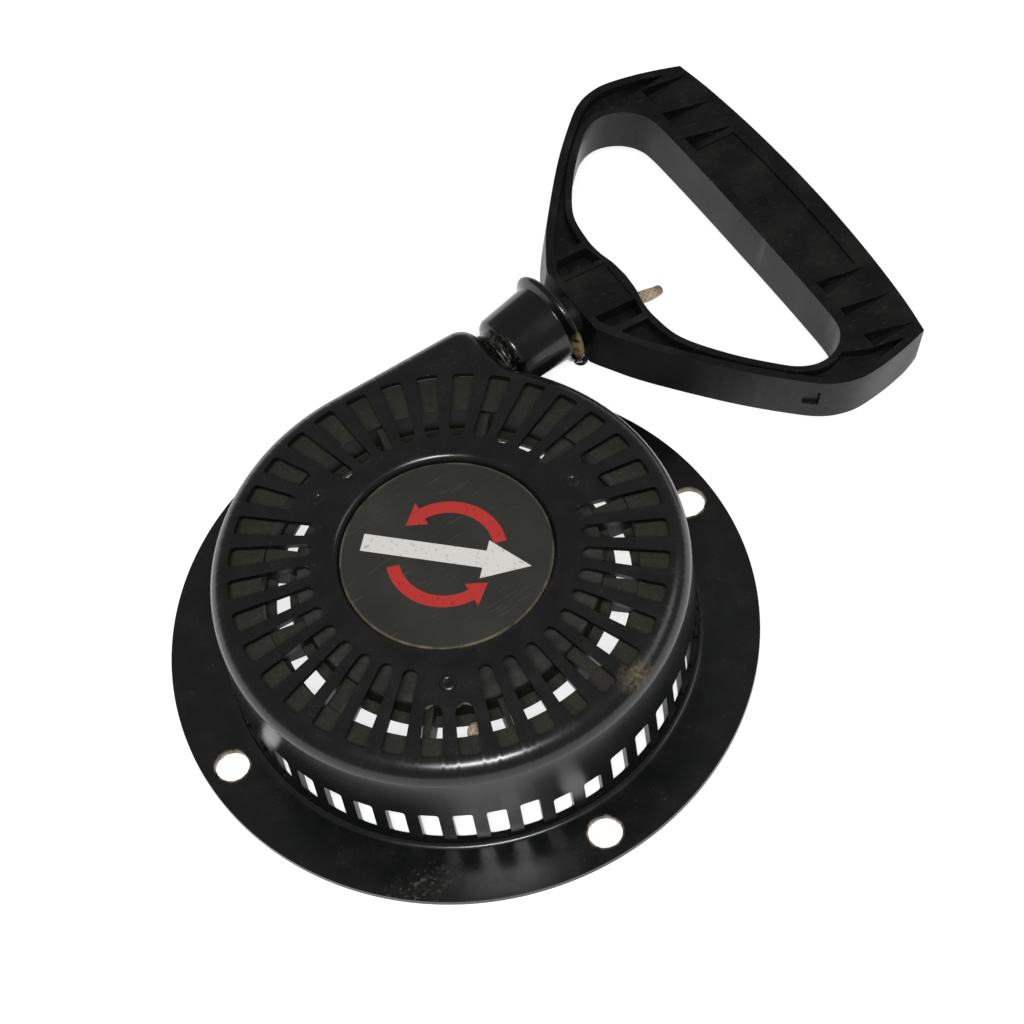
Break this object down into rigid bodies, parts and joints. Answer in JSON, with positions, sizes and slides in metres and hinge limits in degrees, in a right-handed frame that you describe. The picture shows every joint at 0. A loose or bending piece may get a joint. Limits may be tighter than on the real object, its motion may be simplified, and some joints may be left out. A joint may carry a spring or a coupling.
{
  "type": "recoil starter",
  "caption": "Recoil starter with a slotted steel bell housing, spring-returned rope reel, pawl clutch, rope guide cup and loop handle.",
  "frame": {"origin": "on the reel axis in the plane of the mounting flange's underside, at the free end of the centring pin", "axes": "+Z along the reel axis from the engine towards the closed top of the housing, +X through one bolt hole, towards the side where the rope leaves"},
  "size_m": [0.2968, 0.2514, 0.057],
  "materials": {
    "housing_paint": "satin black baked enamel on pressed steel",
    "label": "printed adhesive film, worn",
    "zinc_steel": "zinc plated, dull",
    "spring_steel": "oiled blue-grey spring steel",
    "hardened_steel": "hardened, lightly oiled",
    "guide_plastic": "glossy moulded nylon, worn rim",
    "reel_plastic": "dusty moulded nylon",
    "handle_plastic": "fine-textured moulded polypropylene",
    "rope": "worn braided cotton-polyester cord"
  },
  "bodies": {
    "housing_assembly": {"housing": "housing_paint", "label_disc": "label", "spindle_bracket": "zinc_steel", "rivet_1": "housing_paint", "rivet_2": "housing_paint", "rivet_3": "housing_paint", "spindle_post": "zinc_steel", "guide_cup": "guide_plastic", "guide_clip": "zinc_steel", "rope_lead": "rope", "centre_screw": "zinc_steel", "centring_pin": "hardened_steel", "brake_spring": "spring_steel", "brake_washer": "zinc_steel"},
    "reel_assembly": {"reel": "reel_plastic", "spring_cover": "zinc_steel", "recoil_spring": "spring_steel", "rope_winding": "rope", "rope_anchor_knot": "rope", "pawl_spring_1": "spring_steel", "pawl_spring_2": "spring_steel"},
    "retainer": {"pawl_retainer": "zinc_steel"},
    "first_pawl": {"pawl_1": "hardened_steel"},
    "second_pawl": {"pawl_2": "hardened_steel"},
    "rope_end": {"rope_tail": "rope"},
    "grip": {"handle": "handle_plastic"}
  },
  "joints": [
    {"name": "rope_pull", "type": "slide", "parent": "housing_assembly", "child": "rope_end", "axis": [0.9903, 0.1392, 0], "range_m": [0, 1.1], "deforming": ["rope_lead"]},
    {"name": "handle_twist", "type": "hinge", "parent": "rope_end", "child": "grip", "pos_m": [0.0832, 0.0683, 0.0392], "axis": [0.9745, 0.0596, -0.2164], "range_deg": [-90, 90]},
    {"name": "reel_spin", "type": "hinge", "parent": "housing_assembly", "child": "reel_assembly", "pos_m": [0, 0, 0.038], "axis": [0, 0, 1], "range_deg": [-905, 0], "stiffness_Nm_per_rad": 0.08, "springref_deg": 515.66, "deforming": ["recoil_spring"]},
    {"name": "retainer_turn", "type": "hinge", "parent": "reel_assembly", "child": "retainer", "pos_m": [0, 0, 0.0214], "axis": [0, 0, 1], "range_deg": [0, 20]},
    {"name": "pawl_1_swing", "type": "hinge", "parent": "reel_assembly", "child": "first_pawl", "pos_m": [0.027, 0, 0.028], "axis": [0, 0, 1], "range_deg": [0, 25], "stiffness_Nm_per_rad": 0.004, "springref_deg": -28.65},
    {"name": "pawl_2_swing", "type": "hinge", "parent": "reel_assembly", "child": "second_pawl", "pos_m": [-0.027, 0, 0.028], "axis": [0, 0, 1], "range_deg": [0, 25], "stiffness_Nm_per_rad": 0.004, "springref_deg": -28.65}
  ],
  "couplings": [
    {"joint": "reel_spin", "follows": "rope_pull", "rad_per_m": -14.35},
    {"joint": "pawl_1_swing", "follows": "retainer_turn", "ratio": 1.25},
    {"joint": "pawl_2_swing", "follows": "retainer_turn", "ratio": 1.25}
  ]
}
